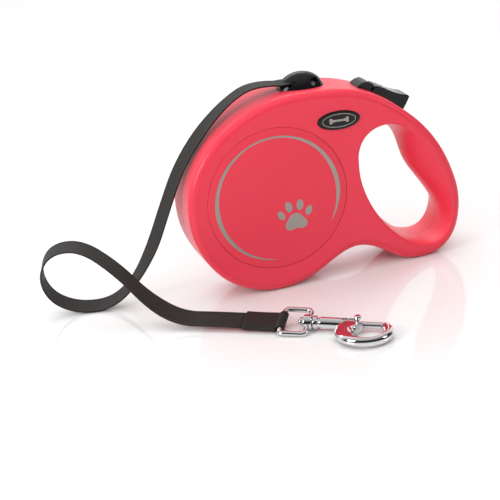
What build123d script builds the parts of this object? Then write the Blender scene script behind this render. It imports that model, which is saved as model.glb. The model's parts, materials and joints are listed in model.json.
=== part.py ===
from build123d import *
import math
import os

# Retractable tape leash. X runs from the drum (-X) to the handle (+X), Y is the
# casing's thickness (the front cover faces -Y) and Z is up. The casing stands on
# Z = 0, on the underside of its drum and of its handle.

# ---------------------------------------------------------------- driving sizes
CASE_T = 44.5          # casing thickness over the raised side faces
STEP = 0.6             # how far each side face stands above the rounded rim
RIM_R = 4.8            # rim shoulder radius
RIM_IN = 5.0           # side face edge, measured in from the outline
WALL = 3.0             # casing wall
AXLE_X, AXLE_Z = 5.0, 70.5   # spool axle
DISC_R = 52.4          # round side cover
DISC_GAP = 0.3
TAPE_W, TAPE_T = 15.0, 1.0
AXLE_R = 4.0
FLANGE_R = 53.0        # spool flanges
PACK_R = 45.0          # wound tape
TEETH = 24             # brake notches on the front flange
PRESS = 3.5            # brake button travel
LATCH = 3.0            # lock latch travel
HOOK_YAW = -35.0       # heading of the snap hook on the floor
HOOK_AX = 6.5          # height of the snap hook's axis at the eye
HOOK_PITCH = 1.9       # the ring end lies lower than the eye end
EYE_ROLL = 20.0        # the eye and the sleeve lie turned about the hook's axis
BOLT_TRAVEL = 8.5
X_MID = 42.5           # middle of the casing's length, from the drum's lowest point
Z_LIFT = 0.05

HALF = CASE_T / 2
os.makedirs("parts", exist_ok=True)

# Casing outline in X, Z, counter-clockwise from the drum's left-most point.
OUTLINE = [
    (-61.0, 66.0), (-58.8, 49.6), (-52.4, 33.2), (-40.5, 17.0), (-22.5, 5.2),
    (0.0, 0.0), (18.0, 2.0), (34.0, 8.2), (48.0, 15.6), (62.0, 19.6),
    (76.0, 16.0), (89.0, 7.6), (101.0, 1.6), (114.0, 0.0), (128.0, 3.0),
    (139.0, 13.0), (144.9, 29.0), (145.8, 45.5), (142.6, 61.5), (135.2, 81.0),
    (122.5, 101.0), (106.0, 117.6), (88.0, 130.6), (66.0, 139.3), (43.0, 142.8),
    (20.0, 143.2), (0.0, 139.8), (-20.5, 131.2), (-38.5, 118.3), (-52.0, 101.2),
    (-59.4, 83.5),
]
# Hand hole at the side faces and at the middle of the thickness, point for point.
HOLE_SIDE = [
    (68.8, 80.0), (69.6, 69.0), (72.4, 57.5), (77.6, 44.8), (85.0, 32.5),
    (94.0, 22.0), (104.0, 13.8), (115.0, 9.6), (126.4, 10.6), (134.4, 18.2),
    (138.8, 31.0), (138.9, 46.8), (135.6, 62.0), (129.4, 77.4), (120.4, 91.2),
    (109.8, 101.8), (98.6, 108.0), (87.5, 108.0), (78.5, 104.3), (72.0, 97.0),
    (69.2, 88.5),
]
HOLE_MID = [
    (70.6, 80.0), (71.4, 69.0), (74.2, 58.0), (79.6, 45.5), (87.0, 33.5),
    (96.0, 23.5), (106.0, 15.6), (116.5, 11.8), (125.8, 12.8), (131.6, 19.2),
    (133.4, 27.8), (131.2, 37.5), (126.0, 47.5), (118.6, 59.5), (111.8, 72.0),
    (108.8, 84.0), (105.4, 95.0), (97.6, 103.0), (86.8, 105.2), (76.6, 100.2),
    (71.6, 91.0),
]


def y_plane(y):
    """Sketch plane in X, Z at this Y. Extruding from it runs towards -Y."""
    return Plane.XZ.offset(-y)


def shifted(points, distance):
    """Closed list of points moved outwards (counter-clockwise list) by distance."""
    moved = []
    count = len(points)
    for i in range(count):
        (x0, z0), (x1, z1) = points[i - 1], points[(i + 1) % count]
        length = math.hypot(x1 - x0, z1 - z0)
        moved.append(
            (points[i][0] + (z1 - z0) / length * distance,
             points[i][1] - (x1 - x0) / length * distance)
        )
    return moved


def polar(radius, degrees):
    return (AXLE_X + radius * math.cos(math.radians(degrees)),
            AXLE_Z + radius * math.sin(math.radians(degrees)))


SIDE_EDGE = shifted(OUTLINE, -RIM_IN)
INNER = shifted(OUTLINE, -WALL - 0.3)
# Screws: three round the drum, one by the top edge, one under the hand hole.
SCREWS = [polar(58.2, 300), polar(58.2, 130), polar(58.2, 200), (64.0, 130.6), (79.5, 24.0)]
BADGE_AT, BADGE_A, BADGE_B, BADGE_TILT = (56.5, 119.0), 16.2, 6.9, -3.0

# Brake button frame: t runs down the casing's top edge towards the handle, n is
# square to it and outwards.
BT_ANGLE = -36.4
BT = (math.cos(math.radians(BT_ANGLE)), math.sin(math.radians(BT_ANGLE)))
BN = (-BT[1], BT[0])
BT_AT = (100.0, 122.3)


def button_plane(y):
    return Plane(origin=(BT_AT[0], y, BT_AT[1]), x_dir=(BT[0], 0, BT[1]), z_dir=(0, -1, 0))


# ---------------------------------------------------------------- casing halves
with BuildPart() as casing:
    with BuildSketch(y_plane(HALF - STEP)):
        with BuildLine():
            Spline(*OUTLINE, periodic=True)
        make_face()
    extrude(amount=CASE_T - 2 * STEP)
    fillet(casing.edges().filter_by(lambda e: abs(abs(e.center().Y) - (HALF - STEP)) < 0.01), RIM_R)
    with BuildSketch(y_plane(HALF)):
        with BuildLine():
            Spline(*SIDE_EDGE, periodic=True)
        make_face()
    extrude(amount=CASE_T)

with BuildPart() as hole_tool:
    for y, pts in ((HALF + 1, HOLE_SIDE), (0, HOLE_MID), (-HALF - 1, HOLE_SIDE)):
        with BuildSketch(y_plane(y)):
            with BuildLine():
                Spline(*pts, periodic=True)
            make_face()
    loft()

with BuildPart() as hole_wall:
    for y, pts in ((HALF + 1, HOLE_SIDE), (0, HOLE_MID), (-HALF - 1, HOLE_SIDE)):
        with BuildSketch(y_plane(y)):
            with BuildLine():
                Spline(*shifted(pts, WALL), periodic=True)
            make_face()
    loft()

with BuildPart() as cavity:
    with BuildSketch(y_plane(HALF - WALL)):
        with BuildLine():
            Spline(*INNER, periodic=True)
        make_face()
    extrude(amount=CASE_T - 2 * WALL)
    add(hole_wall.part, mode=Mode.SUBTRACT)

with BuildPart() as shell_body:
    add(casing.part)
    add(hole_tool.part, mode=Mode.SUBTRACT)
    rims = shell_body.edges().filter_by(
        lambda e: abs(abs(e.bounding_box().min.Y) - HALF) < 0.1
        and e.bounding_box().size.Y < 0.2 and e.bounding_box().min.X > 60
    )
    print("hand hole rim edges", len(rims), [round(e.length) for e in rims])
    try:
        fillet(rims, 1.8)
    except Exception as problem:
        print("hand hole rim fillet left out:", problem)
    add(cavity.part, mode=Mode.SUBTRACT)
    # opening for the brake button
    with BuildSketch(button_plane(9.5)):
        with BuildLine():
            Polyline((-14.2, -9.0), (-14.2, 14), (15.2, 14), (15.2, -9.0), close=True)
        make_face()
    extrude(amount=19.0, mode=Mode.SUBTRACT)
    # slot for the lock latch's stem
    with BuildSketch(button_plane(2.6)):
        with BuildLine():
            Polyline((-25.3, -12), (-25.3, 4), (-16.6, 4), (-16.6, -12), close=True)
        make_face()
    extrude(amount=5.2, mode=Mode.SUBTRACT)
    # seat for the tape guide and the way through for the tape
    with BuildSketch(Plane.XY.offset(140.4)):
        with Locations((37.5, 0)):
            Ellipse(17.35, 12.35)
    extrude(amount=12, mode=Mode.SUBTRACT)
    with BuildSketch(Plane.XY.offset(132.0)):
        with Locations((43.5, 0)):
            Rectangle(13.0, 17.0)
    extrude(amount=10, mode=Mode.SUBTRACT)
print("shell", shell_body.part.is_valid, len(shell_body.part.solids()), round(shell_body.part.volume))

with BuildPart() as housing_front:
    add(shell_body.part)
    split(bisect_by=Plane.XZ, keep=Keep.TOP)
    if housing_front.part.center().Y > 0:
        print("front half is on the wrong side")
    # screw bosses
    with BuildSketch(y_plane(0)):
        with Locations(*SCREWS):
            Circle(4.0)
    extrude(amount=HALF - WALL + 0.5)
    with BuildSketch(y_plane(0.0)):
        with Locations(*SCREWS):
            Circle(1.55)
    extrude(amount=16.0, mode=Mode.SUBTRACT)
    # axle boss and its blind seat
    with BuildSketch(y_plane(-12.4)):
        with Locations((AXLE_X, AXLE_Z)):
            Circle(8.0)
    extrude(amount=HALF - WALL - 12.4 + 0.5)
    with BuildSketch(y_plane(-12.0)):
        with Locations((AXLE_X, AXLE_Z)):
            Circle(AXLE_R + 0.03)
    extrude(amount=8.4, mode=Mode.SUBTRACT)
    # shelf under the brake spring
    with BuildSketch(y_plane(-6.0)):
        with BuildLine():
            Polyline((61.5, 97.6), (69.6, 97.6), (69.6, 99.6), (61.5, 99.6), close=True)
        make_face()
    extrude(amount=HALF - WALL - 6 + 0.5)
    # seats for the round cover and the badge
    with BuildSketch(y_plane(-20.9)):
        with Locations((AXLE_X, AXLE_Z)):
            Circle(DISC_R + DISC_GAP)
    extrude(amount=3, mode=Mode.SUBTRACT)
    with BuildSketch(y_plane(-21.5)):
        with Locations(Location((BADGE_AT[0], BADGE_AT[1], 0), (0, 0, BADGE_TILT))):
            Ellipse(BADGE_A + 0.15, BADGE_B + 0.15)
    extrude(amount=3, mode=Mode.SUBTRACT)

with BuildPart() as housing_rear:
    add(shell_body.part)
    split(bisect_by=Plane.XZ, keep=Keep.BOTTOM)
    with BuildSketch(y_plane(HALF - WALL + 0.5)):
        with Locations(*SCREWS):
            Circle(4.0)
    extrude(amount=HALF - WALL + 0.5)
    with BuildSketch(y_plane(HALF + 2)):
        with Locations(*SCREWS):
            Circle(1.6)
    extrude(amount=HALF + 2, mode=Mode.SUBTRACT)
    with BuildSketch(y_plane(HALF + 2)):
        with Locations(*SCREWS):
            Circle(2.9)
    extrude(amount=HALF + 2 - 11.0, mode=Mode.SUBTRACT)
    with BuildSketch(y_plane(20.4)):
        with Locations((AXLE_X, AXLE_Z)):
            Circle(AXLE_R + 0.03)
    extrude(amount=2.0, mode=Mode.SUBTRACT)
    with BuildSketch(y_plane(23.9)):
        with Locations((AXLE_X, AXLE_Z)):
            Circle(DISC_R + DISC_GAP)
    extrude(amount=3, mode=Mode.SUBTRACT)
    with BuildSketch(y_plane(24.5)):
        with Locations(Location((BADGE_AT[0], BADGE_AT[1], 0), (0, 0, BADGE_TILT))):
            Ellipse(BADGE_A + 0.15, BADGE_B + 0.15)
    extrude(amount=3, mode=Mode.SUBTRACT)

# ---------------------------------------------------------------- side covers, badges
DISC_AXIS = Axis((AXLE_X, 0, AXLE_Z), (0, 1, 0))
DISC_PLANE = Plane(origin=(AXLE_X, 0, AXLE_Z), x_dir=(1, 0, 0), z_dir=(0, 0, 1))
with BuildPart() as side_disc_front:
    with BuildSketch(DISC_PLANE):
        with BuildLine():
            Polyline((0, -20.9), (DISC_R, -20.9), (DISC_R, -22.1), (DISC_R - 0.7, -22.4),
                     (DISC_R - 4.5, -22.7), (0, -22.7), close=True)
        make_face()
    revolve(axis=DISC_AXIS)
with BuildPart() as side_disc_rear:
    with BuildSketch(DISC_PLANE):
        with BuildLine():
            Polyline((0, 20.9), (DISC_R, 20.9), (DISC_R, 22.1), (DISC_R - 0.7, 22.4),
                     (DISC_R - 4.5, 22.7), (0, 22.7), close=True)
        make_face()
    revolve(axis=DISC_AXIS)

with BuildPart() as badge_front:
    with BuildSketch(y_plane(-21.5)):
        with Locations(Location((BADGE_AT[0], BADGE_AT[1], 0), (0, 0, BADGE_TILT))):
            Ellipse(BADGE_A, BADGE_B)
    extrude(amount=1.7)
    fillet(badge_front.faces().sort_by(Axis.Y)[0].edges(), 0.8)
with BuildPart() as badge_rear:
    with BuildSketch(y_plane(23.2)):
        with Locations(Location((BADGE_AT[0], BADGE_AT[1], 0), (0, 0, BADGE_TILT))):
            Ellipse(BADGE_A, BADGE_B)
    extrude(amount=1.7)
    fillet(badge_rear.faces().sort_by(Axis.Y)[-1].edges(), 0.8)

# ---------------------------------------------------------------- fasteners, axle
with BuildPart() as housing_screws:
    with BuildSketch(y_plane(11.0)):
        with Locations(*SCREWS):
            Circle(1.5)
    extrude(amount=25.5)
    with BuildSketch(y_plane(13.4)):
        with Locations(*SCREWS):
            Circle(2.7)
    extrude(amount=2.4)
    with BuildSketch(y_plane(13.4)):
        for at in SCREWS:
            with Locations(at):
                Rectangle(3.4, 0.8)
                Rectangle(0.8, 3.4)
    extrude(amount=1.2, mode=Mode.SUBTRACT)

with BuildPart() as axle:
    with BuildSketch(y_plane(20.3)):
        with Locations((AXLE_X, AXLE_Z)):
            Circle(AXLE_R)
    extrude(amount=40.6)
    # slot that holds the recoil spring's inner end
    with BuildSketch(y_plane(21)):
        with Locations((AXLE_X, AXLE_Z)):
            Rectangle(9, 1.2)
    extrude(amount=21 - 10.8, mode=Mode.SUBTRACT)

with BuildPart() as thrust_washer:
    with BuildSketch(y_plane(-11.6)):
        with Locations((AXLE_X, AXLE_Z)):
            Circle(7.2)
            Circle(AXLE_R + 0.05, mode=Mode.SUBTRACT)
    extrude(amount=0.7)

# ---------------------------------------------------------------- spool
with BuildPart() as spool:
    with BuildSketch(y_plane(8.2)):
        with Locations((AXLE_X, AXLE_Z)):
            Circle(20)
            Circle(17.4, mode=Mode.SUBTRACT)
            Circle(7.6)
            with PolarLocations(12.6, 6):
                Rectangle(11.2, 1.8)
            Circle(AXLE_R + 0.05, mode=Mode.SUBTRACT)
    extrude(amount=16.4)
    with BuildSketch(y_plane(9.8)):
        with Locations((AXLE_X, AXLE_Z)):
            Circle(FLANGE_R)
            Circle(AXLE_R + 0.05, mode=Mode.SUBTRACT)
    extrude(amount=1.6)
    # ring that centres the front flange
    with BuildSketch(y_plane(-8.2)):
        with Locations((AXLE_X, AXLE_Z)):
            Circle(7.6)
            Circle(AXLE_R + 0.05, mode=Mode.SUBTRACT)
    extrude(amount=3.1)

with BuildPart() as spool_flange:
    with BuildSketch(y_plane(-8.2)):
        with Locations((AXLE_X, AXLE_Z)):
            Circle(FLANGE_R)
            Circle(7.65, mode=Mode.SUBTRACT)
    extrude(amount=2.9)
    with BuildSketch(y_plane(-8.0)):
        with Locations((AXLE_X, AXLE_Z)):
            with PolarLocations(FLANGE_R, TEETH, start_angle=54.3):
                Rectangle(8.4, 8.0)
    extrude(amount=3.4, mode=Mode.SUBTRACT)
    with BuildSketch(y_plane(-8.0)):
        with Locations((AXLE_X, AXLE_Z)):
            with PolarLocations(28, 6):
                Circle(6.5)
    extrude(amount=3.4, mode=Mode.SUBTRACT)

with BuildPart() as tape_pack:
    with BuildSketch(y_plane(TAPE_W / 2)):
        with Locations((AXLE_X, AXLE_Z)):
            Circle(PACK_R)
            Circle(20.05, mode=Mode.SUBTRACT)
    extrude(amount=TAPE_W)

with BuildPart() as spring_cup:
    with BuildSketch(y_plane(18.6)):
        with Locations((AXLE_X, AXLE_Z)):
            Circle(41.5)
            Circle(7.0, mode=Mode.SUBTRACT)
    extrude(amount=1.2)
    with BuildSketch(y_plane(17.4)):
        with Locations((AXLE_X, AXLE_Z)):
            Circle(41.5)
            Circle(40.0, mode=Mode.SUBTRACT)
    extrude(amount=17.4 - 9.8)

# Flat spiral spring: its inner end sits in the axle's slot.
turns, r_in, r_out, strip = 7.5, 6.2, 38.6, 0.7


def spiral(offset):
    pts = []
    steps = int(turns * 12)
    for i in range(steps + 1):
        f = i / steps
        r = r_in + (r_out - r_in) * f + offset
        pts.append(polar(r, 360 * turns * f))
    return pts


with BuildPart() as recoil_spring:
    outer_pts, inner_pts = spiral(strip / 2), spiral(-strip / 2)
    with BuildSketch(y_plane(16.6)):
        with BuildLine():
            Spline(*outer_pts)
            Line(outer_pts[-1], inner_pts[-1])
            Spline(*inner_pts)
            Line(inner_pts[0], outer_pts[0])
        make_face()
    extrude(amount=5.6)
    # tab into the axle's slot
    with BuildSketch(y_plane(16.6)):
        with BuildLine():
            Polyline((AXLE_X, AXLE_Z - 0.35), (AXLE_X + r_in + 0.2, AXLE_Z - 0.35),
                     (AXLE_X + r_in + 0.2, AXLE_Z + 0.35), (AXLE_X, AXLE_Z + 0.35), close=True)
        make_face()
    extrude(amount=5.6)

# ---------------------------------------------------------------- tape guide
with BuildPart() as guide_dome:
    with BuildSketch(Plane.XZ):
        with BuildLine():
            EllipticalCenterArc((0, 0), 17.0, 13.2, start_angle=0, arc_size=90)
            Line((0, 13.2), (0, 0))
            Line((0, 0), (17.0, 0))
        make_face()
    revolve(axis=Axis.Z)
    scale(by=(1, 12.0 / 17.0, 1))
with BuildPart() as tape_guide:
    add(Location((37.5, 0, 140.45)) * guide_dome.part)
    # way up from the spool and out of the front mouth
    with BuildSketch(Plane.XY.offset(140)):
        with Locations((37.8, 0)):
            Rectangle(21.6, 16.8)
    extrude(amount=8.9, mode=Mode.SUBTRACT)
    with BuildSketch(Plane.XY.offset(146.2)):
        with Locations((22.0, 0)):
            Rectangle(14, 16.8)
    extrude(amount=3.2, mode=Mode.SUBTRACT)
    with BuildSketch(y_plane(10.7)):
        with Locations((41.0, 143.8)):
            Circle(1.23)
    extrude(amount=21.4, mode=Mode.SUBTRACT)

with BuildPart() as guide_pin:
    with BuildSketch(y_plane(10.5)):
        with Locations((41.0, 143.8)):
            Circle(1.2)
    extrude(amount=21.0)
with BuildPart() as guide_sleeve:
    with BuildSketch(y_plane(8.0)):
        with Locations((41.0, 143.8)):
            Circle(3.0)
            Circle(1.25, mode=Mode.SUBTRACT)
    extrude(amount=16.0)

# tape from the wound pack over the guide sleeve to the mouth
GX, GZ, GR = 41.0, 143.8, 3.1
with BuildPart() as tape_inner_run:
    with BuildSketch(y_plane(TAPE_W / 2)):
        with BuildLine():
            l1 = Line((50.7, 78.0), (GX + GR, GZ))
            a1 = CenterArc((GX, GZ), GR, 0, 90)
            l2 = Line((GX, GZ + GR), (19.8, GZ + GR + 0.6))
            l3 = Line((19.8, GZ + GR + 0.6), (19.8, GZ + GR + 0.6 + TAPE_T))
            l4 = Line((19.8, GZ + GR + 0.6 + TAPE_T), (GX, GZ + GR + TAPE_T))
            a2 = CenterArc((GX, GZ), GR + TAPE_T, 0, 90)
            l5 = Line((GX + GR + TAPE_T, GZ), (50.7 + TAPE_T, 78.0))
            l6 = Line((50.7 + TAPE_T, 78.0), (50.7, 78.0))
        make_face()
    extrude(amount=TAPE_W)

# ---------------------------------------------------------------- brake
with BuildPart() as brake_button:
    with BuildSketch(button_plane(9.1)):
        with BuildLine():
            Polyline((-13.8, -4.6), (-13.8, 4.0), (-12.4, 5.4), (-9.6, 5.9), (-9.2, 5.3),
                     (-8.2, 5.4), (-7.8, 6.2), (-5.4, 6.4), (-5.0, 5.7), (-4.0, 5.8), (-3.6, 6.6),
                     (1.0, 6.9), (7.0, 8.0), (13.2, 9.9), (14.6, 9.4), (14.8, 7.6), (14.8, -4.6),
                     close=True)
        make_face()
    extrude(amount=18.2)
    try:
        fillet(brake_button.edges().filter_by(
            lambda e: abs(abs(e.center().Y) - 9.1) < 0.01
            and ((e.center().X - BT_AT[0]) * BN[0] + (e.center().Z - BT_AT[1]) * BN[1]) > 3.9), 0.9)
    except Exception as problem:
        print("button edge fillet left out:", problem)

ARM = [(93.5, 120.6), (84.5, 125.6), (60.0, 121.6), (44.0, 119.2), (38.4, 118.4), (36.9, 115.2),
       (39.4, 113.6), (41.4, 114.4), (62.0, 113.9), (80.0, 114.2), (90.5, 112.8)]
with BuildPart() as brake_carriage:
    with BuildSketch(button_plane(7.4)):
        with BuildLine():
            Polyline((-12.4, -8.6), (-12.4, -4.6), (12.4, -4.6), (12.4, -8.6), close=True)
        make_face()
    extrude(amount=18.4)
    with BuildSketch(y_plane(-8.5)):
        with BuildLine():
            Polyline(*ARM, close=True)
        make_face()
    extrude(amount=2.5)
    # pad over the spring
    with BuildSketch(Plane.XY.offset(113.2)):
        with Locations((65.6, -9.75)):
            Circle(3.4)
    extrude(amount=2.4)

with BuildPart() as brake_spring:
    with BuildLine():
        Helix(pitch=2.1, height=12.6, radius=2.6, center=(65.6, -9.75, 100.05))
    with BuildSketch(Plane(origin=(65.6 + 2.6, -9.75, 100.05), z_dir=(0, 1, 0))):
        Circle(0.4)
    sweep(is_frenet=True)

with BuildPart() as lock_latch:
    with BuildSketch(button_plane(7.6)):
        with BuildLine():
            Polyline((-25.6, -2.3), (-25.3, -0.5), (-23.6, 2.4), (-21.4, 4.3), (-19.4, 5.0), (-15.3, 5.0),
                     (-15.0, 4.6), (-15.0, 0.1), close=True)
        make_face()
    extrude(amount=15.2)
    # stem through the slot, with the plate that keeps it in
    with BuildSketch(button_plane(2.3)):
        with BuildLine():
            Polyline((-22.0, 0), (-22.0, -9.5), (-17.0, -9.5), (-17.0, 0), close=True)
        make_face()
    extrude(amount=4.6)
    with BuildSketch(button_plane(4.6)):
        with BuildLine():
            Polyline((-23.0, -8.2), (-23.0, -9.5), (-16.4, -9.5), (-16.4, -8.2), close=True)
        make_face()
    extrude(amount=9.2)

# ---------------------------------------------------------------- leash tape outside the casing
TAPE_ROUTE = [
    (19.8, 0.0, 148.0), (2.4, 0.2, 151.6), (-18.8, 0.4, 142.2), (-40.6, 0.8, 123.8),
    (-59.4, 1.4, 100.2), (-72.8, 3.0, 72.0), (-85.4, 6.4, 42.4), (-102.0, 12.4, 17.2),
    (-119.5, 18.8, 2.6), (-142.0, 26.0, 2.6), (-160.0, 28.4, 14.6), (-166.2, 26.2, 35.2),
    (-157.6, 17.6, 54.4), (-137.4, 3.4, 58.6), (-117.0, -13.4, 41.4), (-100.0, -29.6, 18.0),
    (-82.9, -45.8, 6.6), (-62.97, -59.89, 6.73), (-44.55, -72.79, 5.98),
]
TUBE_R = math.sqrt(TAPE_W * TAPE_T / math.pi)   # same section area as the flat tape
runs = [math.dist(a, b) for a, b in zip(TAPE_ROUTE, TAPE_ROUTE[1:])]
radii = []
for i in range(1, len(TAPE_ROUTE) - 1):
    a, b, c = (Vector(*p) for p in TAPE_ROUTE[i - 1:i + 2])
    turn = (b - a).get_angle(c - b)
    radii.append(0.45 * min(runs[i - 1], runs[i]) / math.tan(math.radians(turn / 2)))
print("tape runs", [round(r, 1) for r in runs])
print("tape radii", [round(r, 1) for r in radii])
with BuildPart() as leash_tape:
    with BuildLine() as tape_path:
        FilletPolyline(*TAPE_ROUTE, radius=radii)
    with BuildSketch(Plane(origin=tape_path.wires()[0] @ 0, z_dir=tape_path.wires()[0] % 0)):
        Circle(TUBE_R)
    sweep()
TAPE_LEN = tape_path.wires()[0].length
print("tape length", round(TAPE_LEN, 1), "volume", round(leash_tape.part.volume),
      "section times length", round(math.pi * TUBE_R ** 2 * TAPE_LEN))

# ---------------------------------------------------------------- end of the leash
YAW = math.radians(HOOK_YAW)
HA = (math.cos(YAW), math.sin(YAW))       # along the hook
HB = (-HA[1], HA[0])                      # away from the front of the casing
HOOK_AT = (-44.8 + 24.0 * HA[0], -73.2 + 24.0 * HA[1])


def hook_flat(z):
    """Plane square to Z, x along the hook, y across it."""
    return Plane(origin=(HOOK_AT[0], HOOK_AT[1], z), x_dir=(HA[0], HA[1], 0), z_dir=(0, 0, 1))


def hook_side(y):
    """Upright plane along the hook, at y across it; extruding runs towards -y."""
    return Plane(origin=(HOOK_AT[0] + HB[0] * y, HOOK_AT[1] + HB[1] * y, HOOK_AX),
                 x_dir=(HA[0], HA[1], 0), z_dir=(-HB[0], -HB[1], 0))


def hook_cross(x):
    """Plane square to the hook's axis at x along it; extruding runs forwards."""
    return Plane(origin=(HOOK_AT[0] + HA[0] * x, HOOK_AT[1] + HA[1] * x, HOOK_AX),
                 x_dir=(HB[0], HB[1], 0), z_dir=(HA[0], HA[1], 0))


HOOK_AXIS = Axis((HOOK_AT[0], HOOK_AT[1], HOOK_AX), (HA[0], HA[1], 0))
# The hook's pieces are drawn level, then laid as they rest on the floor.
HOOK_FRAME = Location(hook_flat(HOOK_AX))
LAY_HOOK = HOOK_FRAME * Rot(0, HOOK_PITCH, 0) * HOOK_FRAME.inverse()
LAY_EYE = HOOK_FRAME * Rot(0, HOOK_PITCH, 0) * Rot(EYE_ROLL, 0, 0) * HOOK_FRAME.inverse()
for x in (-24.0, -46.5):
    end = HOOK_FRAME * Rot(0, HOOK_PITCH, 0) * Rot(EYE_ROLL, 0, 0) * Location((x, 0, -1.4))
    print("tape end", x, [round(v, 2) for v in end.position])

with BuildPart() as end_sleeve:
    with BuildSketch(hook_flat(HOOK_AX - 3.5)):
        with Locations((-11.8, 0)):
            Rectangle(24.4, 17)
    extrude(amount=4.2)
    fillet(end_sleeve.edges().filter_by(lambda e: abs(e.length - 24.4) < 0.01), 1.5)

with BuildPart() as tape_end_loop:
    with BuildSketch(hook_side(TAPE_W / 2)):
        with Locations((3.8, 0)):
            Circle(3.2)
        with BuildLine():
            Polyline((0.4, -2.9), (0.4, -0.3), (1.2, 1.88), (3.8, 0), (3.8, -3.2), close=True)
        make_face()
        with Locations((3.8, 0)):
            Circle(1.98, mode=Mode.SUBTRACT)
    extrude(amount=TAPE_W)

with BuildPart() as swivel_eye:
    with BuildLine(hook_flat(HOOK_AX)) as frame_line:
        FilletPolyline((22.5, 4.6), (22.5, 11.8), (3.8, 11.8), (3.8, -11.8), (22.5, -11.8), (22.5, -4.6), radius=2.8)
    with BuildSketch(Plane(origin=frame_line.wires()[0] @ 0, z_dir=frame_line.wires()[0] % 0)):
        Circle(1.9)
    sweep()
    with BuildSketch(hook_side(0)):
        with BuildLine():
            Polyline((19.3, 0), (19.3, 4.8), (20.0, 5.5), (25.0, 5.5), (25.7, 4.8), (25.7, 0), close=True)
        make_face()
    revolve(axis=HOOK_AXIS)
    with BuildSketch(hook_cross(18)):
        Circle(2.6)
    extrude(amount=9, mode=Mode.SUBTRACT)

with BuildPart() as hook_ring:
    with BuildSketch(hook_flat(HOOK_AX - 3.6)):
        with Locations((64.7, -12.1)):
            Ellipse(20.4, 18.5)
    extrude(amount=7.2)
    fillet(hook_ring.edges().filter_by(lambda e: abs(abs(e.center().Z - HOOK_AX) - 3.6) < 0.01), 2.2)

with BuildPart() as hook_body:
    with BuildSketch(hook_side(0)):
        with BuildLine():
            Polyline((15.8, 0), (15.8, 2.5), (16.7, 3.4), (18.9, 3.4), (18.9, 2.52), (26.1, 2.52),
                     (26.1, 4.5), (26.5, 4.9), (28.9, 4.9), (29.3, 4.5), (29.3, 3.7), (30.7, 3.7),
                     (31.3, 4.3), (55.1, 4.3), (55.7, 3.8), (55.7, 0), close=True)
        make_face()
    revolve(axis=HOOK_AXIS)
    add(hook_ring.part)
    with BuildSketch(hook_flat(0)):
        with Locations((68.0, -12.4)):
            Ellipse(9.9, 12.2)
    extrude(amount=14, mode=Mode.SUBTRACT)
    # gate between the barrel and the nose, closed by the bolt
    with BuildSketch(hook_flat(0)):
        with BuildLine():
            Polyline((57.4, -3.0), (77.0, -3.0), (77.0, 12), (57.4, 12), close=True)
        make_face()
    extrude(amount=14, mode=Mode.SUBTRACT)
    with BuildSketch(hook_cross(30.6)):
        Circle(2.45)
    extrude(amount=48.8, mode=Mode.SUBTRACT)
    # slot for the thumb knob
    with BuildSketch(hook_flat(HOOK_AX)):
        with Locations((52.1, 0)):
            Rectangle(11.4, 3.2)
    extrude(amount=7, mode=Mode.SUBTRACT)

with BuildPart() as hook_bolt:
    with BuildSketch(hook_side(0)):
        with BuildLine():
            Polyline((46.4, 0), (46.4, 2.0), (46.8, 2.36), (78.4, 2.36), (79.0, 1.8), (79.0, 0), close=True)
        make_face()
    revolve(axis=HOOK_AXIS)
    with BuildSketch(hook_flat(HOOK_AX)):
        with Locations((57.7, 0)):
            Circle(1.25)
    extrude(amount=5.4)
    with BuildSketch(hook_flat(HOOK_AX + 4.8)):
        with Locations((57.7, 0)):
            Circle(2.5)
    extrude(amount=2.2)
    fillet(hook_bolt.faces().sort_by(Axis.Z)[-1].edges(), 1.0)

with BuildPart() as bolt_spring:
    with BuildLine():
        Helix(pitch=1.6, height=14.4, radius=1.7, center=(HOOK_AT[0] + HA[0] * 31.3, HOOK_AT[1] + HA[1] * 31.3, HOOK_AX),
              direction=(HA[0], HA[1], 0))
    spring_path = bolt_spring.pending_edges[0]
    with BuildSketch(Plane(origin=spring_path @ 0, z_dir=spring_path % 0)):
        Circle(0.3)
    sweep(is_frenet=True)

# ---------------------------------------------------------------- write the pieces
# The origin is the middle of the casing's footprint, so every piece moves there.
case_box = casing.part.bounding_box()
print("casing box", case_box.min, case_box.max)
PLACE = Location((-X_MID, 0, Z_LIFT))
housing_front.part.label = "housing_front"
export_step(PLACE * housing_front.part, "parts/housing_front.step")
housing_rear.part.label = "housing_rear"
export_step(PLACE * housing_rear.part, "parts/housing_rear.step")
side_disc_front.part.label = "side_disc_front"
export_step(PLACE * side_disc_front.part, "parts/side_disc_front.step")
side_disc_rear.part.label = "side_disc_rear"
export_step(PLACE * side_disc_rear.part, "parts/side_disc_rear.step")
badge_front.part.label = "badge_front"
export_step(PLACE * badge_front.part, "parts/badge_front.step")
badge_rear.part.label = "badge_rear"
export_step(PLACE * badge_rear.part, "parts/badge_rear.step")
housing_screws.part.label = "housing_screws"
export_step(PLACE * housing_screws.part, "parts/housing_screws.step")
axle.part.label = "axle"
export_step(PLACE * axle.part, "parts/axle.step")
thrust_washer.part.label = "thrust_washer"
export_step(PLACE * thrust_washer.part, "parts/thrust_washer.step")
spool.part.label = "spool"
export_step(PLACE * spool.part, "parts/spool.step")
spool_flange.part.label = "spool_flange"
export_step(PLACE * spool_flange.part, "parts/spool_flange.step")
tape_pack.part.label = "tape_pack"
export_step(PLACE * tape_pack.part, "parts/tape_pack.step")
spring_cup.part.label = "spring_cup"
export_step(PLACE * spring_cup.part, "parts/spring_cup.step")
recoil_spring.part.label = "recoil_spring"
export_step(PLACE * recoil_spring.part, "parts/recoil_spring.step")
tape_guide.part.label = "tape_guide"
export_step(PLACE * tape_guide.part, "parts/tape_guide.step")
guide_pin.part.label = "guide_pin"
export_step(PLACE * guide_pin.part, "parts/guide_pin.step")
guide_sleeve.part.label = "guide_sleeve"
export_step(PLACE * guide_sleeve.part, "parts/guide_sleeve.step")
tape_inner_run.part.label = "tape_inner_run"
export_step(PLACE * tape_inner_run.part, "parts/tape_inner_run.step")
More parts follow.
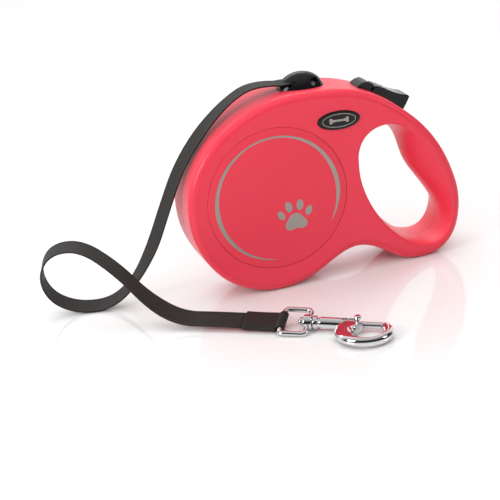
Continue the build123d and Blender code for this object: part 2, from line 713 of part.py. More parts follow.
brake_button.part.label = "brake_button"
export_step(PLACE * brake_button.part, "parts/brake_button.step")
brake_carriage.part.label = "brake_carriage"
export_step(PLACE * brake_carriage.part, "parts/brake_carriage.step")
brake_spring.part.label = "brake_spring"
export_step(PLACE * brake_spring.part, "parts/brake_spring.step")
lock_latch.part.label = "lock_latch"
export_step(PLACE * lock_latch.part, "parts/lock_latch.step")
leash_tape.part.label = "leash_tape"
export_step(PLACE * leash_tape.part, "parts/leash_tape.step")
end_sleeve.part.label = "end_sleeve"
export_step(PLACE * LAY_EYE * end_sleeve.part, "parts/end_sleeve.step")
tape_end_loop.part.label = "tape_end_loop"
export_step(PLACE * LAY_EYE * tape_end_loop.part, "parts/tape_end_loop.step")
swivel_eye.part.label = "swivel_eye"
export_step(PLACE * LAY_EYE * swivel_eye.part, "parts/swivel_eye.step")
hook_body.part.label = "hook_body"
export_step(PLACE * LAY_HOOK * hook_body.part, "parts/hook_body.step")
hook_bolt.part.label = "hook_bolt"
export_step(PLACE * LAY_HOOK * hook_bolt.part, "parts/hook_bolt.step")
bolt_spring.part.label = "bolt_spring"
export_step(PLACE * LAY_HOOK * bolt_spring.part, "parts/bolt_spring.step")
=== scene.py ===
import bpy
import json
import math
from mathutils import Matrix, Vector


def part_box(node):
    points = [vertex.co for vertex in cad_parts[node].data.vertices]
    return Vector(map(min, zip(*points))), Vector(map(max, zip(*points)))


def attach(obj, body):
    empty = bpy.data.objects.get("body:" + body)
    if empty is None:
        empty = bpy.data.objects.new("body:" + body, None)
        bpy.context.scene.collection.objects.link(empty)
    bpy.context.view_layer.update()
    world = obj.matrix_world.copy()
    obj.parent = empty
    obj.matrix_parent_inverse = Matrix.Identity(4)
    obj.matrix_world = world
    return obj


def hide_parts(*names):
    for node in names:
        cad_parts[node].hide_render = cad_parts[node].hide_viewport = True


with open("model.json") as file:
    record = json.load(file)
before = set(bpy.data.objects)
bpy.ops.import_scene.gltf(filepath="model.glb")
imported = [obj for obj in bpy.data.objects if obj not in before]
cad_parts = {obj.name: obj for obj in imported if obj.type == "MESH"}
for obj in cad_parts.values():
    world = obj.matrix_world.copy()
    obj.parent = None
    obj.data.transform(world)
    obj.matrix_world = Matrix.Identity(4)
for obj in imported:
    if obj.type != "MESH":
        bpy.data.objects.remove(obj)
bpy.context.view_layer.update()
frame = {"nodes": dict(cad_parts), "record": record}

COL = bpy.context.scene.collection


def D(x, y, z):
    """A place given in the part's drawing, in millimetres, as a place in the row frame, in metres."""
    return Vector(((x - 42.5) / 1000, y / 1000, (z + 0.05) / 1000))


# ------------------------------------------------------------------ camera
right = Vector((0.94418, -0.30977, -0.1121)).normalized()
up = Vector((0.21177, 0.31008, 0.92683))
up = (up - right * up.dot(right)).normalized()
back = right.cross(up)
cam = bpy.data.cameras.new("camera")
cam.sensor_width = 36
cam.lens = 18 / math.tan(math.radians(8))
cam.clip_end = 12
camera = bpy.data.objects.new("camera", cam)
COL.objects.link(camera)
m = Matrix((right, up, back)).transposed().to_4x4()
m.translation = D(-343.12, -1172.16, 495.01)
camera.matrix_world = m
bpy.context.scene.camera = camera
bpy.context.scene.view_settings.view_transform = "Standard"


# ------------------------------------------------------------------ node helpers
class Mat:
    def __init__(self, name):
        self.mat = bpy.data.materials.new(name)
        self.mat.use_nodes = True
        self.nodes = self.mat.node_tree.nodes
        self.links = self.mat.node_tree.links
        self.bsdf = self.nodes["Principled BSDF"]

    def set(self, **values):
        for key, value in values.items():
            self.bsdf.inputs[key.replace("_", " ")].default_value = value
        return self

    def new(self, kind, **props):
        node = self.nodes.new(kind)
        for key, value in props.items():
            setattr(node, key, value)
        return node

    def link(self, a, b):
        self.links.new(a, b)

    def coords(self, which="Object"):
        if not hasattr(self, "_tc"):
            self._tc = self.new("ShaderNodeTexCoord")
        return self._tc.outputs[which]

    def noise(self, scale, detail=3.0, rough=0.5, coords=None, stretch=None):
        node = self.new("ShaderNodeTexNoise")
        node.inputs["Scale"].default_value = scale
        node.inputs["Detail"].default_value = detail
        node.inputs["Roughness"].default_value = rough
        source = coords or self.coords()
        if stretch:
            mapping = self.new("ShaderNodeMapping")
            mapping.inputs["Scale"].default_value = stretch
            self.link(source, mapping.inputs["Vector"])
            source = mapping.outputs["Vector"]
        self.link(source, node.inputs["Vector"])
        return node.outputs["Fac"]

    def math(self, op, a, b=None, c=None, clamp=False):
        node = self.new("ShaderNodeMath", operation=op, use_clamp=clamp)
        for i, v in enumerate((a, b, c)):
            if v is None:
                continue
            if isinstance(v, (int, float)):
                node.inputs[i].default_value = v
            else:
                self.link(v, node.inputs[i])
        return node.outputs[0]

    def ranged(self, value, lo, hi, a=0.0, b=1.0, smooth=False):
        node = self.new("ShaderNodeMapRange")
        if smooth:
            node.interpolation_type = "SMOOTHSTEP"
        node.inputs["From Min"].default_value = a
        node.inputs["From Max"].default_value = b
        node.inputs["To Min"].default_value = lo
        node.inputs["To Max"].default_value = hi
        self.link(value, node.inputs["Value"])
        return node.outputs["Result"]

    def mix(self, fac, a, b):
        node = self.new("ShaderNodeMix", data_type="RGBA")
        self.link(fac, node.inputs["Factor"])
        for socket, v in ((node.inputs["A"], a), (node.inputs["B"], b)):
            if isinstance(v, tuple):
                socket.default_value = (*v, 1) if len(v) == 3 else v
            else:
                self.link(v, socket)
        return node.outputs["Result"]

    def color(self, socket):
        self.link(socket, self.bsdf.inputs["Base Color"])

    def rough(self, socket):
        self.link(socket, self.bsdf.inputs["Roughness"])

    def bump(self, height, distance, strength=1.0):
        node = self.new("ShaderNodeBump")
        node.inputs["Strength"].default_value = strength
        node.inputs["Distance"].default_value = distance
        if hasattr(self, "_bump"):
            self.link(self._bump, node.inputs["Normal"])
        self.link(height, node.inputs["Height"])
        self._bump = node.outputs["Normal"]
        for n in list(self.bsdf.inputs["Normal"].links):
            self.links.remove(n)
        self.link(self._bump, self.bsdf.inputs["Normal"])


def moulded(name, dark, light, rough_lo, rough_hi, grain=2200, grain_depth=0.00003, specular=0.5, seam=False, patch=35,
            coat=0.0):
    """Moulded plastic: faint tone changes, uneven gloss, fine moulding grain and, on the casing, the seam of its halves."""
    m = Mat(name)
    m.bsdf.inputs["Specular IOR Level"].default_value = specular
    m.bsdf.inputs["Coat Weight"].default_value = coat
    m.bsdf.inputs["Coat Roughness"].default_value = 0.08
    tone = m.ranged(m.noise(patch, 4), 0, 1, 0.3, 0.7)
    base = m.mix(tone, dark, light)
    m.rough(m.ranged(m.noise(patch * 2.5, 5, 0.6), rough_lo, rough_hi, 0.3, 0.7))
    m.bump(m.noise(grain, 2, 0.6), grain_depth, 0.5)
    if seam:
        sep = m.new("ShaderNodeSeparateXYZ")
        m.link(m.coords(), sep.inputs[0])
        away = m.math("ABSOLUTE", sep.outputs["Y"])
        line = m.ranged(away, 1.0, 0.0, 0.00008, 0.00022, smooth=True)
        base = m.mix(line, base, tuple(v * 0.35 for v in dark))
        m.bump(m.math("SUBTRACT", 1.0, line), 0.00025, 1.0)
    m.color(base)
    return m.mat


def metal(name, color, rough_lo, rough_hi, brush=None, depth=0.00002, patch=90):
    m = Mat(name).set(Metallic=1.0)
    tone = m.noise(patch, 4)
    m.color(m.mix(tone, tuple(v * 0.93 for v in color), color))
    if brush:
        streak = m.noise(60, 3, 0.6, stretch=brush)
        m.rough(m.ranged(streak, rough_lo, rough_hi, 0.3, 0.7))
        m.bump(streak, depth, 0.6)
    else:
        m.rough(m.ranged(m.noise(patch * 3, 4, 0.6), rough_lo, rough_hi, 0.3, 0.7))
        m.bump(m.noise(patch * 0.8, 2), depth, 0.5)
    return m.mat


def webbing(name, dark, light, from_uv=True):
    """Woven tape: warp threads along it, weft ribs across it, and a smooth selvedge on both edges. UV is in millimetres."""
    m = Mat(name)
    m.bsdf.inputs["Specular IOR Level"].default_value = 0.28
    m.bsdf.inputs["Sheen Weight"].default_value = 0.08
    m.bsdf.inputs["Sheen Roughness"].default_value = 0.4
    sep = m.new("ShaderNodeSeparateXYZ")
    if from_uv:
        m.link(m.coords("UV"), sep.inputs[0])
        u, v = sep.outputs["X"], sep.outputs["Y"]
    else:
        scaled = m.new("ShaderNodeVectorMath", operation="SCALE")
        scaled.inputs["Scale"].default_value = 1000
        m.link(m.coords(), scaled.inputs[0])
        m.link(scaled.outputs[0], sep.inputs[0])
        u, v = sep.outputs["Z"], sep.outputs["Y"]
    row = m.math("DIVIDE", v, 0.85)
    column = m.math("FLOOR", row)
    warp = m.math("SINE", m.math("MULTIPLY", m.math("FRACT", row), math.pi))
    along = m.math("ADD", m.math("DIVIDE", u, 1.5), m.math("MULTIPLY", column, 0.5))
    weft = m.math("SINE", m.math("MULTIPLY", m.math("FRACT", along), math.pi))
    thread = m.math("MULTIPLY", m.math("POWER", warp, 0.6), m.math("POWER", weft, 0.5))
    if from_uv:
        edge = m.ranged(m.math("ABSOLUTE", v), 0.0, 1.0, 6.3, 6.6, smooth=True)
        rib = m.math("SINE", m.math("MULTIPLY", u, 2 * math.pi / 0.9))
        selvedge = m.ranged(rib, 0.5, 0.9, -1.0, 1.0)
        keep = m.math("SUBTRACT", 1.0, edge)
        thread = m.math("ADD", m.math("MULTIPLY", thread, keep), m.math("MULTIPLY", selvedge, edge))
    wear = m.noise(55, 4)
    # The colour follows the thread height: painted shade in the gaps between threads and painted highlight on their
    # crests, also on the selvedge ribs; the wear noise adds random tone on top.
    shade = m.math("MULTIPLY", thread, m.ranged(wear, 0.75, 1.1, 0.3, 0.7), clamp=True)
    m.color(m.mix(shade, dark, light))
    m.rough(m.ranged(thread, 0.78, 0.5))
    m.bump(thread, 0.00022, 0.9)
    m.bump(m.noise(4200, 2), 0.00003, 0.5)
    return m.mat


M = {
    "case_red": moulded("case_red", (0.80, 0.046, 0.080), (0.82, 0.049, 0.085), 0.30, 0.34, seam=True, grain_depth=0.00001, patch=14,
                         specular=0.3),
    "disc_red": moulded("disc_red", (0.78, 0.044, 0.076), (0.80, 0.047, 0.081), 0.32, 0.36, grain_depth=0.00001, patch=14,
                         specular=0.3),
    "black_gloss": moulded("black_gloss", (0.006, 0.006, 0.007), (0.010, 0.010, 0.011), 0.07, 0.13, grain=900,
                           grain_depth=0.00001, specular=0.3),
    "tape_black": webbing("tape_black", (0.006, 0.005, 0.0045), (0.026, 0.022, 0.019)),
    "tape_pack": webbing("tape_pack", (0.006, 0.005, 0.005), (0.027, 0.024, 0.022), from_uv=False),
    "sleeve_black": moulded("sleeve_black", (0.011, 0.009, 0.0075), (0.017, 0.014, 0.012), 0.36, 0.48, grain=1500,
                            grain_depth=0.00004, specular=0.3),
    "chrome": metal("chrome", (0.78, 0.77, 0.78), 0.04, 0.09, depth=0.00003),
    "steel": metal("steel", (0.56, 0.56, 0.57), 0.24, 0.40, brush=(1, 24, 24)),
    "spring_steel": metal("spring_steel", (0.33, 0.34, 0.38), 0.28, 0.42, brush=(1, 1, 30)),
    "inner_plastic": moulded("inner_plastic", (0.030, 0.030, 0.032), (0.046, 0.046, 0.049), 0.42, 0.58, grain=1400,
                             grain_depth=0.00006),
    "silver_print": None,
}
silver = Mat("silver_print").set(Metallic=0.85)
flake = silver.noise(5200, 2, 0.7)
silver.color(silver.mix(flake, (0.36, 0.33, 0.29), (0.50, 0.46, 0.42)))
silver.rough(silver.ranged(silver.noise(300, 3), 0.34, 0.46, 0.3, 0.7))
silver.bump(flake, 0.00002, 0.4)
M["silver_print"] = silver.mat

SLOT = {part["node"]: part["material_slot"] for part in frame["record"]["subparts"]}
for node, ob in frame["nodes"].items():
    mat = M["tape_pack"] if node in ("tape_pack", "tape_inner_run") else M[SLOT[node]]
    if not ob.material_slots:
        ob.data.materials.append(mat)
    for s in ob.material_slots:
        s.material = mat


# ------------------------------------------------------------------ mesh helpers
def piece(name, verts, faces, mat, uvs=None, smooth=True):
    mesh = bpy.data.meshes.new(name)
    mesh.from_pydata([tuple(v) for v in verts], [], faces)
    if uvs is not None:
        layer = mesh.uv_layers.new(name="UVMap")
        for poly in mesh.polygons:
            for li, key in zip(poly.loop_indices, uvs[poly.index]):
                layer.data[li].uv = key
    mesh.materials.append(mat)
    for poly in mesh.polygons:
        poly.use_smooth = smooth
    mesh.update()
    ob = bpy.data.objects.new(name, mesh)
    COL.objects.link(ob)
    return ob


def spline_line(name, points):
    """Points along the smooth NURBS line that these are the control points of."""
    curve = bpy.data.curves.new(name, "CURVE")
    curve.dimensions = "3D"
    curve.resolution_u = 20
    spline = curve.splines.new("NURBS")
    spline.points.add(len(points) - 1)
    for point, place in zip(spline.points, points):
        point.co = (*place, 1.0)
    spline.order_u = 3
    spline.use_endpoint_u = True
    ob = bpy.data.objects.new(name, curve)
    COL.objects.link(ob)
    bpy.context.view_layer.update()
    mesh = bpy.data.meshes.new_from_object(ob)
    line = [v.co.copy() for v in mesh.vertices]
    bpy.data.meshes.remove(mesh)
    bpy.data.objects.remove(ob)
    bpy.data.curves.remove(curve)
    if (line[0] - Vector(points[0])).length > (line[-1] - Vector(points[0])).length:
        line.reverse()
    return line


def ribbon(name, line, widths, section, mat):
    """A band along a line. widths gives the direction of its width at each point, section its outline in millimetres."""
    verts, faces, uvs = [], [], []
    travelled = 0.0
    count = len(section)
    v_of = [s[0] for s in section]
    us = []
    for i, p in enumerate(line):
        t = (line[min(i + 1, len(line) - 1)] - line[max(i - 1, 0)]).normalized()
        w = (widths[i] - t * widths[i].dot(t)).normalized()
        n = t.cross(w)
        if i:
            travelled += (p - line[i - 1]).length
        us.append(travelled * 1000)
        for a, b in section:
            verts.append(p + w * (a / 1000) + n * (b / 1000))
    for i in range(len(line) - 1):
        for j in range(count):
            k = (j + 1) % count
            faces.append((i * count + j, i * count + k, (i + 1) * count + k, (i + 1) * count + j))
            uvs.append([(us[i], v_of[j]), (us[i], v_of[k]), (us[i + 1], v_of[k]), (us[i + 1], v_of[j])])
    for row, order in ((0, range(count - 1, -1, -1)), (len(line) - 1, range(count))):
        faces.append(tuple(row * count + j for j in order))
        uvs.append([(us[row], v_of[j]) for j in order])
    ob = piece(name, verts, faces, mat, uvs)
    return ob


def tape_section(width, thick):
    """Outline of woven tape: flat, with a slightly thicker rolled selvedge."""
    h, t = width / 2, thick / 2
    upper = [(-h, 0.0), (-h + 0.12, t * 0.75), (-h + 0.45, t * 1.12), (-h + 0.95, t * 1.08), (-h + 1.3, t * 0.9)]
    upper += [(x, t * (0.93 + 0.07 * math.cos(x / h * 1.5))) for x in (-h * 0.6, -h * 0.3, 0.0, h * 0.3, h * 0.6)]
    upper += [(-x, z) for x, z in reversed(upper[:5])]
    lower = [(x, -z) for x, z in reversed(upper[1:-1])]
    return upper + lower


def soft_copy(node, name, voxel, rounds, mat, factor=0.5):
    """A new piece with the CAD node's shape and its inner corners and edges melted together, as a casting has them."""
    src = frame["nodes"][node]
    ob = bpy.data.objects.new(name, src.data.copy())
    ob.matrix_world = src.matrix_world.copy()
    COL.objects.link(ob)
    remesh = ob.modifiers.new("remesh", "REMESH")
    remesh.mode = "VOXEL"
    remesh.voxel_size = voxel
    remesh.use_smooth_shade = True
    smooth = ob.modifiers.new("smooth", "SMOOTH")
    smooth.factor = factor
    smooth.iterations = rounds
    bpy.context.view_layer.update()
    graph = bpy.context.evaluated_depsgraph_get()
    mesh = bpy.data.meshes.new_from_object(ob.evaluated_get(graph))
    bpy.data.objects.remove(ob)
    mesh.materials.clear()
    mesh.materials.append(mat)
    for poly in mesh.polygons:
        poly.use_smooth = True
        poly.material_index = 0
    new = bpy.data.objects.new(name, mesh)
    COL.objects.link(new)
    return new


# ------------------------------------------------------------------ hook's own frames
YAW, PITCH, ROLL = math.radians(-35.0), math.radians(1.9), math.radians(20.0)
hook_turn = Matrix.Rotation(YAW, 3, "Z") @ Matrix.Rotation(PITCH, 3, "Y")
eye_turn = hook_turn @ Matrix.Rotation(ROLL, 3, "X")
hook_at = D(-44.8 + 24.0 * math.cos(YAW), -73.2 + 24.0 * math.sin(YAW), 6.5)


def E(x, y, z):
    return hook_at + eye_turn @ Vector((x / 1000, y / 1000, z / 1000))


# ------------------------------------------------------------------ leash tape, a flat cord
ROUTE = [
    D(19.8, 0.0, 148.0), D(2.4, 0.2, 151.6), D(-18.8, 0.4, 142.2), D(-40.6, 0.8, 123.8),
    D(-59.4, 1.4, 100.2), D(-72.8, 3.0, 72.0), D(-85.4, 6.4, 42.4), D(-102.0, 12.4, 16.2),
    D(-119.5, 18.8, 2.7), D(-142.0, 26.0, 2.7), D(-160.0, 28.4, 14.6), D(-166.2, 26.2, 35.2),
    D(-157.6, 17.6, 54.4), D(-137.4, 3.4, 58.6), D(-117.0, -13.4, 41.4), D(-100.0, -29.6, 18.0),
    D(-82.9, -45.8, 6.6), D(-62.97, -59.89, 6.73), D(-44.55, -72.79, 5.98),
]
# direction of the tape's width at some of the route's points
WIDTH_AT = [
    (0, (0.0, 1.0, 0.0)), (1.2, (0.0, 1.0, 0.0)), (3.0, (-0.22, 0.97, 0.0)), (5.5, (-0.25, 0.97, 0.0)),
    (7.2, (0.16, 0.96, 0.16)), (8.5, (0.30, 0.91, 0.24)), (10.0, (0.32, 0.91, 0.22)), (13.0, (0.34, 0.91, 0.20)),
    (14.6, (0.42, 0.86, 0.26)), (16.0, (0.52, 0.78, 0.33)), (18.0, tuple(eye_turn.col[1])),
]


def width_at(s):
    for (a, va), (b, vb) in zip(WIDTH_AT, WIDTH_AT[1:]):
        if s <= b:
            f = min(max((s - a) / (b - a), 0.0), 1.0)
            f = f * f * (3 - 2 * f)
            return (Vector(va) * (1 - f) + Vector(vb) * f).normalized()
    return Vector(WIDTH_AT[-1][1])


tape_line = spline_line("route", ROUTE)
steps = len(tape_line) - 1
tape_widths = [width_at(i / steps * (len(ROUTE) - 1)) for i in range(steps + 1)]
tape = ribbon("leash_band", tape_line, tape_widths, tape_section(15.0, 1.15), M["tape_black"])
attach(tape, "casing")
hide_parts("leash_tape")


# ------------------------------------------------------------------ sleeve and loop at the leash's end
def lofted(name, stations, place, mat, around=48):
    """A closed skin through rounded sections (x, half width, half thickness, middle's height, squareness)."""
    verts, faces = [], []
    for x, hw, ht, mid, power in stations:
        for k in range(around):
            a = 2 * math.pi * k / around
            c, s = math.cos(a), math.sin(a)
            verts.append(place(x, hw * math.copysign(abs(c) ** (2 / power), c), mid + ht * math.copysign(abs(s) ** (2 / power), s)))
    for i in range(len(stations) - 1):
        for k in range(around):
            n = (k + 1) % around
            faces.append((i * around + k, (i + 1) * around + k, (i + 1) * around + n, i * around + n))
    faces.append(tuple(range(around)))
    last = (len(stations) - 1) * around
    faces.append(tuple(last + k for k in range(around - 1, -1, -1)))
    return piece(name, verts, faces, mat)


stations = [(-24.0, 7.9, 1.35, -1.4, 5.0), (-23.9, 8.15, 1.65, -1.4, 5.0), (-23.5, 8.35, 1.9, -1.4, 5.0), (-22.8, 8.45, 2.02, -1.4, 5.0)]
for k in range(1, 12):
    x = -22.8 + k * 1.74
    stations.append((x, 8.45 - 0.22 * math.sin(math.pi * k / 12), 2.02 - 0.12 * math.sin(math.pi * k / 12), -1.4, 5.2))
stations += [(-1.3, 8.45, 2.05, -1.4, 5.0), (-0.3, 8.38, 1.98, -1.4, 5.0), (0.2, 8.2, 1.75, -1.4, 5.0), (0.4, 7.9, 1.4, -1.4, 5.0)]
sleeve = lofted("end_grip_sleeve", stations, E, M["sleeve_black"])
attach(sleeve, "casing")
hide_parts("end_sleeve")

loop_path = [(-1.0, -2.15), (0.8, -2.30), (2.2, -2.50)]
for deg in range(-98, 105, 14):
    a = math.radians(deg)
    loop_path.append((3.8 + 2.5 * math.cos(a), 2.5 * math.sin(a)))
loop_path += [(2.4, 1.95), (1.3, 1.05), (0.3, 0.10), (-1.0, -0.65)]
loop_line = [E(x, 0, z) for x, z in loop_path]
loop = ribbon("end_band_loop", loop_line, [eye_turn.col[1].copy()] * len(loop_line), tape_section(14.8, 1.1), M["tape_black"])
sub = loop.modifiers.new("round", "SUBSURF")
sub.levels = sub.render_levels = 1
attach(loop, "casing")
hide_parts("tape_end_loop")

# ------------------------------------------------------------------ cast and plated hook pieces
eye = soft_copy("swivel_eye", "eye_casting", 0.00026, 6, M["chrome"])
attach(eye, "eye")
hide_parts("swivel_eye")
hook = soft_copy("hook_body", "hook_casting", 0.00026, 8, M["chrome"])


def ellipse_reach(cx, cy, a, b, ox, oy, dx, dy):
    """How far out from (ox, oy) along (dx, dy) the ellipse lies."""
    px, py = (ox - cx) / a, (oy - cy) / b
    qx, qy = dx / a, dy / b
    k, h, c = qx * qx + qy * qy, px * qx + py * qy, px * px + py * py - 1
    return (-h + math.sqrt(max(h * h - k * c, 0.0))) / k


def step(v, lo, hi):
    f = min(max((v - lo) / (hi - lo), 0.0), 1.0)
    return f * f * (3 - 2 * f)


back_turn = hook_turn.transposed()
for vert in hook.data.vertices:
    p = back_turn @ (vert.co - hook_at) * 1000
    part = max(step(p.x, 59.0, 66.0), step(-p.y, 7.0, 12.0)) if p.x > 44.0 else 0.0
    if part <= 0.0:
        continue
    ox, oy = 66.3, -12.25
    far = math.hypot(p.x - ox, p.y - oy)
    dx, dy = (p.x - ox) / far, (p.y - oy) / far
    outer = ellipse_reach(64.7, -12.1, 20.4, 18.5, ox, oy, dx, dy)
    inner = ellipse_reach(68.0, -12.4, 9.9, 12.2, ox, oy, dx, dy)
    half, mid = (outer - inner) / 2, (outer + inner) / 2
    s, t = (far - mid) / half, p.z / 3.6
    size = math.hypot(s, t)
    part *= step(size, 0.82, 0.95) * 0.9
    if part <= 0.0:
        continue
    s += (s / size - s) * part
    t += (t / size - t) * part
    far = mid + s * half
    vert.co = hook_at + hook_turn @ Vector((ox + dx * far, oy + dy * far, t * 3.6)) / 1000
hook.data.update()

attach(hook, "hook")
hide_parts("hook_body")

# ------------------------------------------------------------------ tape mouth cover
dome = soft_copy("tape_guide", "mouth_cover", 0.00026, 5, M["black_gloss"])
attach(dome, "casing")
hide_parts("tape_guide")


# ------------------------------------------------------------------ silver marks on both side covers
def face_place(side):
    """Places on the round cover's flat, x and z from the drawing, lift outwards in mm."""
    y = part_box("side_disc_front")[0][1] if side < 0 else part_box("side_disc_rear")[1][1]
    return lambda x, z, lift: Vector(((x - 42.5) / 1000, y + side * lift / 1000, (z + 0.05) / 1000))


AX, AZ = 5.0, 70.5


def ring_trim(name, side):
    """A thin silver ring that swells at both sides and runs out to a point at each end."""
    put = face_place(side)
    keys = [(-34, 0.15), (-22, 1.5), (-4, 2.9), (14, 3.2), (40, 2.5), (80, 1.5), (112, 1.3), (150, 2.3), (185, 3.2),
            (212, 2.7), (240, 1.6), (256, 0.8), (264, 0.15)]

    def width(deg):
        for (a, wa), (b, wb) in zip(keys, keys[1:]):
            if deg <= b:
                f = (deg - a) / (b - a)
                f = f * f * (3 - 2 * f)
                return wa + (wb - wa) * f
        return keys[-1][1]
    verts, faces = [], []
    deg, rows = keys[0][0], 0
    profile = [(-0.5, -0.12), (-0.5, 0.05), (-0.42, 0.12), (0.42, 0.12), (0.5, 0.05), (0.5, -0.12)]
    while deg <= keys[-1][0] + 1e-6:
        w, a = width(deg), math.radians(deg)
        for f, lift in profile:
            r = 45.8 + f * w
            verts.append(put(AX + r * math.cos(a), AZ + r * math.sin(a), lift))
        rows += 1
        deg += 1.0
    n = len(profile)
    for i in range(rows - 1):
        for j in range(n):
            k = (j + 1) % n
            quad = (i * n + j, i * n + k, (i + 1) * n + k, (i + 1) * n + j)
            faces.append(quad if side > 0 else quad[::-1])
    faces.append(tuple(range(n - 1, -1, -1)) if side > 0 else tuple(range(n)))
    last = (rows - 1) * n
    faces.append(tuple(last + j for j in (range(n) if side > 0 else range(n - 1, -1, -1))))
    ob = piece(name, verts, faces, M["silver_print"], smooth=False)
    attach(ob, "casing")
    return ob


def outline_blob(points, rounds=3):
    """Closed outline with its corners rounded off."""
    for _ in range(rounds):
        out = []
        for i, p in enumerate(points):
            q = points[(i + 1) % len(points)]
            out.append((p[0] * 0.75 + q[0] * 0.25, p[1] * 0.75 + q[1] * 0.25))
            out.append((p[0] * 0.25 + q[0] * 0.75, p[1] * 0.25 + q[1] * 0.75))
        points = out
    return points


def pads(name, outlines, put, side, height=0.14):
    """Low raised pads with a bevelled edge from closed outlines in the drawing's x and z."""
    verts, faces = [], []
    for pts in outlines:
        cx = sum(p[0] for p in pts) / len(pts)
        cz = sum(p[1] for p in pts) / len(pts)
        base = len(verts)
        n = len(pts)
        for shrink, lift in ((1.0, -0.1), (1.0, height * 0.5), (0.985, height)):
            for x, z in pts:
                verts.append(put(cx + (x - cx) * shrink, cz + (z - cz) * shrink, lift))
        for ring in (0, 1):
            for i in range(n):
                k = (i + 1) % n
                quad = (base + ring * n + i, base + ring * n + k, base + (ring + 1) * n + k, base + (ring + 1) * n + i)
                faces.append(quad if side < 0 else quad[::-1])
        top = tuple(base + 2 * n + i for i in range(n))
        bottom = tuple(base + i for i in range(n - 1, -1, -1))
        faces += [top, bottom] if side < 0 else [top[::-1], bottom[::-1]]
    return piece(name, verts, faces, M["silver_print"], smooth=False)


def oval(cx, cz, a, b, tilt, n=40):
    t = math.radians(tilt)
    out = []
    for k in range(n):
        u, v = a * math.cos(2 * math.pi * k / n), b * math.sin(2 * math.pi * k / n)
        out.append((cx + u * math.cos(t) - v * math.sin(t), cz + u * math.sin(t) + v * math.cos(t)))
    return out


def paw(cx, cz, s):
    """Plain paw print: one three-lobed pad and four toes."""
    main = [(-6.2, -4.6), (-3.2, -5.6), (0.0, -4.4), (3.2, -5.6), (6.2, -4.6), (6.8, -1.6), (4.2, 1.8), (2.0, 4.4),
            (-2.0, 4.4), (-4.2, 1.8), (-6.8, -1.6)]
    shapes = [outline_blob([(cx + x * s, cz + (z - 2.0) * s) for x, z in main])]
    for x, z, a, b, tilt in ((-8.2, 3.0, 1.9, 2.9, 28), (-3.3, 7.2, 2.05, 3.2, 10), (3.3, 7.2, 2.05, 3.2, -10), (8.2, 3.0, 1.9, 2.9, -28)):
        shapes.append(oval(cx + x * s, cz + (z - 0.6) * s, a * s, b * s, tilt))
    return shapes


def bone(cx, cz, s, tilt):
    raw = [(-5.0, -0.75), (-5.3, -1.9), (-6.6, -2.2), (-7.6, -1.2), (-7.1, 0.0), (-7.6, 1.2), (-6.6, 2.2), (-5.3, 1.9), (-5.0, 0.75),
           (5.0, 0.75), (5.3, 1.9), (6.6, 2.2), (7.6, 1.2), (7.1, 0.0), (7.6, -1.2), (6.6, -2.2), (5.3, -1.9), (5.0, -0.75)]
    t = math.radians(tilt)
    raw = outline_blob(raw[::-1], 2)[::-1]
    return [(cx + (x * math.cos(t) - z * math.sin(t)) * s, cz + (x * math.sin(t) + z * math.cos(t)) * s) for x, z in raw]


def oval_band(name, cx, cz, a, b, tilt, w, put, side, lift=0.08):
    """Thin raised oval line."""
    t = math.radians(tilt)
    verts, faces = [], []
    n = 96
    profile = [(-0.5, -0.08), (-0.5, lift), (0.5, lift), (0.5, -0.08)]
    for k in range(n):
        ang = 2 * math.pi * k / n
        for f, h in profile:
            u, v = (a + f * w) * math.cos(ang), (b + f * w) * math.sin(ang)
            verts.append(put(cx + u * math.cos(t) - v * math.sin(t), cz + u * math.sin(t) + v * math.cos(t), h))
    for k in range(n):
        nx = (k + 1) % n
        for j in range(4):
            q = (j + 1) % 4
            quad = (k * 4 + j, k * 4 + q, nx * 4 + q, nx * 4 + j)
            faces.append(quad if side > 0 else quad[::-1])
    return piece(name, verts, faces, M["silver_print"], smooth=False)


for side, word in ((-1, "front"), (1, "rear")):
    ring_trim("ring_trim_" + word, side)
    mark = pads("paw_mark_" + word, paw(16.5, 54.0, 1.28), face_place(side), side)
    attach(mark, "casing")
    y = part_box("badge_front")[0][1] if side < 0 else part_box("badge_rear")[1][1]
    put = lambda x, z, lift, y=y, side=side: Vector(((x - 42.5) / 1000, y + side * lift / 1000, (z + 0.05) / 1000))
    for ob in (oval_band("badge_line_" + word, 56.5, 119.0, 12.6, 4.7, -3.0, 0.5, put, side),
               pads("badge_bone_" + word, [bone(56.5, 119.0, 1.0, -3.0)], put, side, 0.08)):
        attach(ob, "casing")

# ------------------------------------------------------------------ floor, world and lights
n = 24
verts, faces = [], []
for i in range(n + 1):
    for j in range(n + 1):
        verts.append((-6 + 12 * i / n, -6 + 12 * j / n, 0.0))
for i in range(n):
    for j in range(n):
        a = i * (n + 1) + j
        faces.append((a, a + n + 1, a + n + 2, a + 1))
floor_mat = Mat("studio_floor")
floor_mat.bsdf.inputs["Specular IOR Level"].default_value = 0.5
floor_mat.color(floor_mat.mix(floor_mat.noise(3, 3), (0.78, 0.775, 0.775), (0.80, 0.795, 0.795)))
floor_mat.rough(floor_mat.ranged(floor_mat.noise(40, 3), 0.05, 0.09))
floor = piece("studio_floor", verts, faces, floor_mat.mat, smooth=False)

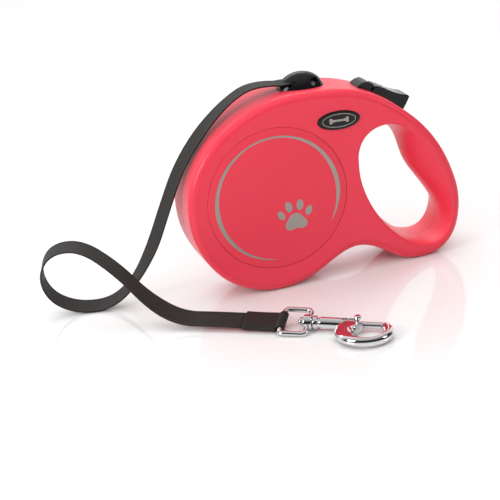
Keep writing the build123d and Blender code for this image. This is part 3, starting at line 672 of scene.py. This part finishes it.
world = bpy.data.worlds.new("studio")
bpy.context.scene.world = world
world.use_nodes = True
wn, wl = world.node_tree.nodes, world.node_tree.links
tc = wn.new("ShaderNodeTexCoord")
sep = wn.new("ShaderNodeSeparateXYZ")
wl.new(tc.outputs["Generated"], sep.inputs[0])
ramp = wn.new("ShaderNodeValToRGB")
ramp.color_ramp.elements[0].position = 0.0
ramp.color_ramp.elements[0].color = (0.015, 0.015, 0.017, 1)
ramp.color_ramp.elements[1].position = 0.9
ramp.color_ramp.elements[1].color = (1.0, 1.0, 1.0, 1)
middle = ramp.color_ramp.elements.new(0.5)
middle.color = (0.05, 0.05, 0.052, 1)
wl.new(sep.outputs["Z"], ramp.inputs[0])
behind = wn.new("ShaderNodeMapRange")
behind.interpolation_type = "SMOOTHSTEP"
behind.inputs["From Min"].default_value = 0.1
behind.inputs["From Max"].default_value = 0.6
wl.new(sep.outputs["Y"], behind.inputs["Value"])
screen = wn.new("ShaderNodeMix")
screen.data_type = "RGBA"
wl.new(behind.outputs["Result"], screen.inputs["Factor"])
wl.new(ramp.outputs[0], screen.inputs["A"])
screen.inputs["B"].default_value = (1.6, 1.6, 1.6, 1)
wl.new(screen.outputs["Result"], wn["Background"].inputs[0])
wn["Background"].inputs[1].default_value = 0.6


def softbox(name, place, aim, size, size_y, power, color=(1, 1, 1), mirrored=True):
    data = bpy.data.lights.new(name, "AREA")
    data.shape = "RECTANGLE"
    data.size, data.size_y = size, size_y
    data.energy = power
    data.color = color
    ob = bpy.data.objects.new(name, data)
    COL.objects.link(ob)
    ob.location = place
    ob.rotation_euler = (Vector(aim) - Vector(place)).to_track_quat("-Z", "Y").to_euler()
    ob.visible_glossy = mirrored


softbox("top", (0.2, 0.7, 2.2), (0.1, 0.5, 0), 3.2, 2.8, 34, mirrored=False)
softbox("front", (-0.2, -1.9, 1.5), (0, 0, 0.05), 2.6, 1.4, 25, mirrored=False)
softbox("key", (-1.2, -0.4, 0.62), (0, 0, 0.08), 0.6, 0.6, 9)
softbox("fill", (1.1, -0.7, 0.6), (0, 0, 0.06), 0.4, 0.4, 2)
softbox("strip", (-0.1, 1.1, 1.1), (0, 0, 0.06), 1.7, 0.16, 4)
